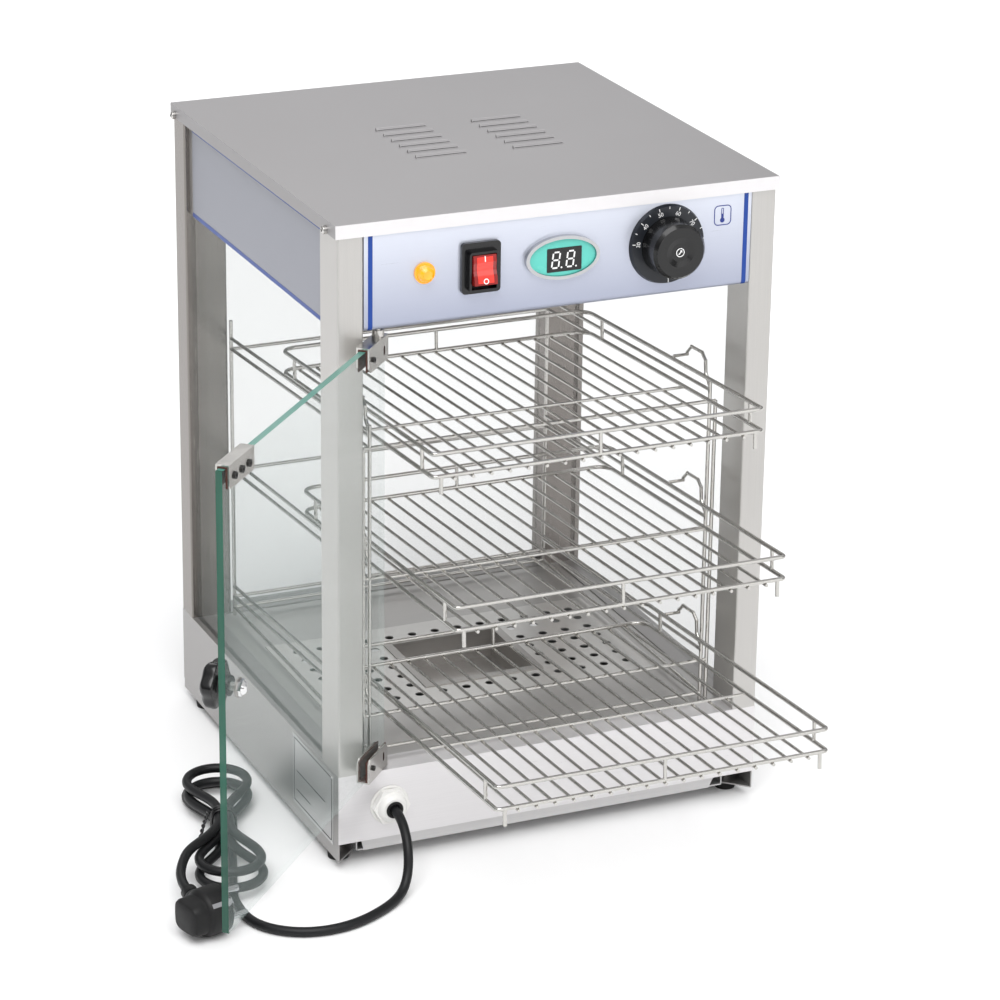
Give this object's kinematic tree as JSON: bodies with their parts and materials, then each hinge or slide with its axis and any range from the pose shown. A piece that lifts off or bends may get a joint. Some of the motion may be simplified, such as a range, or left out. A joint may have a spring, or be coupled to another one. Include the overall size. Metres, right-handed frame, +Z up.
{
  "type": "countertop hot food display case",
  "caption": "Countertop heated food display case with glass walls, an open glass door on pins, sliding wire shelves, a perforated floor with a water tray, and a control panel.",
  "frame": {"origin": "on the bench top, midway between the corner posts both ways", "axes": "+X to the right as the user faces the door side, +Y to the back, +Z up"},
  "size_m": [0.5296, 0.564, 0.5122],
  "materials": {
    "cover_steel": "brushed",
    "post_steel": "brushed",
    "panel_steel": "fine brushed",
    "side_steel": "brushed",
    "base_steel": "brushed",
    "inner_steel": "satin",
    "floor_steel": "brushed",
    "tray_steel": "satin",
    "pane_glass": "clear",
    "door_glass": "clear, green edge",
    "screw_steel": "polished",
    "foot_rubber": "matt",
    "element_metal": "heat-dulled",
    "clip_steel": "satin",
    "terminal_plastic": "matt",
    "label_foil": "satin",
    "wire_chrome": "polished",
    "amber_lens": "clear gloss",
    "lamp_plastic": "matt",
    "switch_rubber": "gloss",
    "rocker_red": "clear gloss",
    "bezel_chrome": "polished",
    "display_face": "gloss",
    "knob_black": "gloss",
    "scale_black": "satin",
    "shaft_steel": "turned",
    "thermostat_steel": "satin",
    "catch_plastic": "matt",
    "gland_white": "satin",
    "clamp_chrome": "polished",
    "pad_rubber": "matt",
    "grub_black": "black oxide",
    "handle_black": "gloss",
    "stud_steel": "turned",
    "nut_chrome": "polished",
    "cord_rubber": "satin",
    "plug_black": "satin",
    "pin_brass": "nickel plated"
  },
  "bodies": {
    "cabinet": {"top_cover": "cover_steel", "cover_screws": "screw_steel", "posts_front": "post_steel", "posts_back": "post_steel", "control_panel": "panel_steel", "fascia_left": "side_steel", "fascia_right": "side_steel", "fascia_back": "side_steel", "ceiling": "inner_steel", "glass_left": "pane_glass", "glass_right": "pane_glass", "glass_back": "pane_glass", "base_front": "base_steel", "base_sides": "side_steel", "base_back": "side_steel", "bottom_pan": "inner_steel", "floor_sheet": "inner_steel", "floor_plate": "floor_steel", "feet": "foot_rubber", "foot_screws": "screw_steel", "foot_nuts": "screw_steel", "heating_element": "element_metal", "element_clips": "clip_steel", "terminal_block": "terminal_plastic", "rating_plate": "label_foil", "rack_left": "wire_chrome", "rack_right": "wire_chrome", "rack_bars": "wire_chrome", "rack_hooks": "wire_chrome", "heat_lamp": "amber_lens", "lamp_body": "lamp_plastic", "switch_housing": "switch_rubber", "display_bezel": "bezel_chrome", "display_window": "display_face", "display_module": "lamp_plastic", "dial_skirt": "scale_black", "thermostat": "thermostat_steel", "magnet_catch": "catch_plastic", "gland_nuts": "gland_white", "gland_dome": "gland_white", "cord_run": "cord_rubber", "cord_hank": "cord_rubber", "plug_body": "plug_black", "plug_pins": "pin_brass"},
    "door": {"door_glass": "door_glass", "hinge_clamps": "clamp_chrome", "hinge_pins": "clamp_chrome", "strike_clamp": "clamp_chrome", "clamp_pads": "pad_rubber", "clamp_screws": "grub_black", "handle_knob": "handle_black", "handle_spacer": "stud_steel", "handle_nut": "nut_chrome"},
    "top_shelf": {"shelf_top": "wire_chrome"},
    "middle_shelf": {"shelf_middle": "wire_chrome"},
    "bottom_shelf": {"shelf_bottom": "wire_chrome"},
    "switch_rocker": {"rocker": "rocker_red"},
    "dial": {"dial_knob": "knob_black", "dial_shaft": "shaft_steel"},
    "tray": {"water_tray": "tray_steel"}
  },
  "joints": [
    {"name": "door_hinge", "type": "hinge", "parent": "cabinet", "child": "door", "pos_m": [-0.142, -0.1725, 0.25], "axis": [0, 0, -1], "range_deg": [-38, 6]},
    {"name": "top_shelf_slide", "type": "slide", "parent": "cabinet", "child": "top_shelf", "axis": [0, -0.9981, 0.061], "range_m": [-0.098, 0.124]},
    {"name": "middle_shelf_slide", "type": "slide", "parent": "cabinet", "child": "middle_shelf", "axis": [0, -0.9981, 0.061], "range_m": [-0.142, 0.08]},
    {"name": "bottom_shelf_slide", "type": "slide", "parent": "cabinet", "child": "bottom_shelf", "axis": [0, -0.9981, 0.061], "range_m": [-0.218, 0.004]},
    {"name": "switch_rocker_tilt", "type": "hinge", "parent": "cabinet", "child": "switch_rocker", "pos_m": [-0.0644, -0.176, 0.4656], "axis": [1, 0, 0], "range_deg": [0, 18]},
    {"name": "dial_turn", "type": "hinge", "parent": "cabinet", "child": "dial", "pos_m": [0.085, -0.18, 0.4675], "axis": [0, 1, 0], "range_deg": [0, 300]},
    {"name": "tray_lift", "type": "slide", "parent": "cabinet", "child": "tray", "axis": [0, 0, 1], "range_m": [0, 0.02]}
  ]
}
